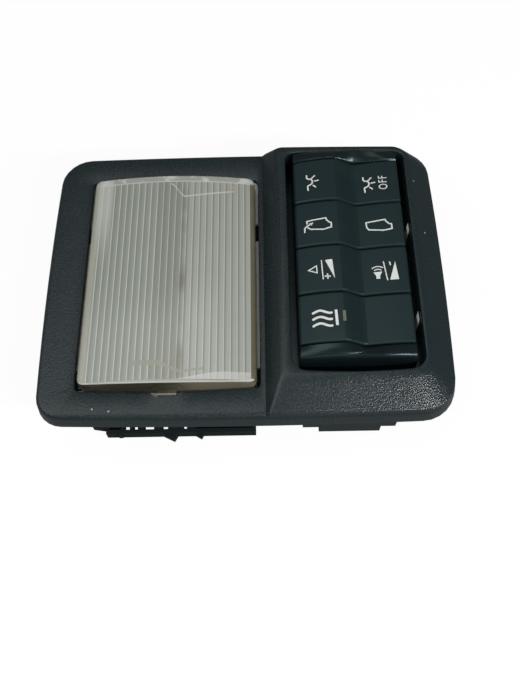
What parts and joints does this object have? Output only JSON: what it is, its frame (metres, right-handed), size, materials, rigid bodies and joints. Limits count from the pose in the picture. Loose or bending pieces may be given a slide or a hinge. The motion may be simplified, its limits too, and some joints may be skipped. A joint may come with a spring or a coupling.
{
  "type": "car dome light",
  "caption": "Overhead lamp and switch panel for a vehicle cab, with a crowned ribbed lens beside a column of sprung rocker keys.",
  "frame": {"origin": "middle of the footprint, in the plane of the two flat rear housings that the panel rests on", "axes": "+Z out of the visible face, +X from the lamp towards the keys, +Y from the front edge towards the back edge"},
  "size_m": [0.15, 0.116, 0.039],
  "materials": {
    "grained_black": "fine moulded grain, charcoal",
    "lens_clear": "clear moulded plastic, smooth outside, ribbed inside",
    "reflector_white": "white semi-gloss plastic",
    "case_black": "plain black plastic",
    "bulb_glass": "clear bulb glass",
    "bright_metal": "bright nickel",
    "brass": "stamped strip",
    "steel": "zinc plated",
    "gloss_black": "polished black",
    "satin_black": "satin, near black",
    "light_guide": "unlit tinted window",
    "board_green": "solder mask",
    "led_white": "diffusing package"
  },
  "bodies": {
    "panel": {"bezel": "grained_black", "lens": "lens_clear", "reflector": "reflector_white", "lamp_housing": "case_black", "front_bulb_glass": "bulb_glass", "front_bulb_caps": "bright_metal", "front_bulb_filament": "bright_metal", "rear_bulb_glass": "bulb_glass", "rear_bulb_caps": "bright_metal", "rear_bulb_filament": "bright_metal", "live_strip": "brass", "earth_strip": "brass", "lamp_screws": "steel", "switch_frame": "gloss_black", "end_caps": "gloss_black", "edge_tabs": "led_white", "switch_board": "board_green", "micro_switches": "gloss_black", "backlight_leds": "led_white", "control_chip": "gloss_black", "smoothing_capacitor": "bright_metal", "connector_header": "satin_black", "connector_pins": "brass", "board_screws": "steel", "rear_cover": "case_black", "switch_screws": "steel", "spring_clips": "steel"},
    "rocker_1": {"rocker_key_1": "satin_black"},
    "rocker_2": {"rocker_key_2": "satin_black"},
    "rocker_3": {"rocker_key_3": "satin_black"},
    "rocker_4": {"rocker_key_4": "satin_black", "indicator_window": "light_guide"}
  },
  "joints": [
    {"name": "key_1_rock", "type": "hinge", "parent": "panel", "child": "rocker_1", "pos_m": [0.0395, 0.0364, 0.0275], "axis": [0, 1, 0], "range_deg": [-3.5, 3.5], "stiffness_Nm_per_rad": 0.6},
    {"name": "key_2_rock", "type": "hinge", "parent": "panel", "child": "rocker_2", "pos_m": [0.0395, 0.0164, 0.0275], "axis": [0, 1, 0], "range_deg": [-3.5, 3.5], "stiffness_Nm_per_rad": 0.6},
    {"name": "key_3_rock", "type": "hinge", "parent": "panel", "child": "rocker_3", "pos_m": [0.0395, -0.0036, 0.0275], "axis": [0, 1, 0], "range_deg": [-3.5, 3.5], "stiffness_Nm_per_rad": 0.6},
    {"name": "key_4_rock", "type": "hinge", "parent": "panel", "child": "rocker_4", "pos_m": [0.0395, -0.0236, 0.0275], "axis": [0, 1, 0], "range_deg": [-3.5, 3.5], "stiffness_Nm_per_rad": 0.6}
  ]
}
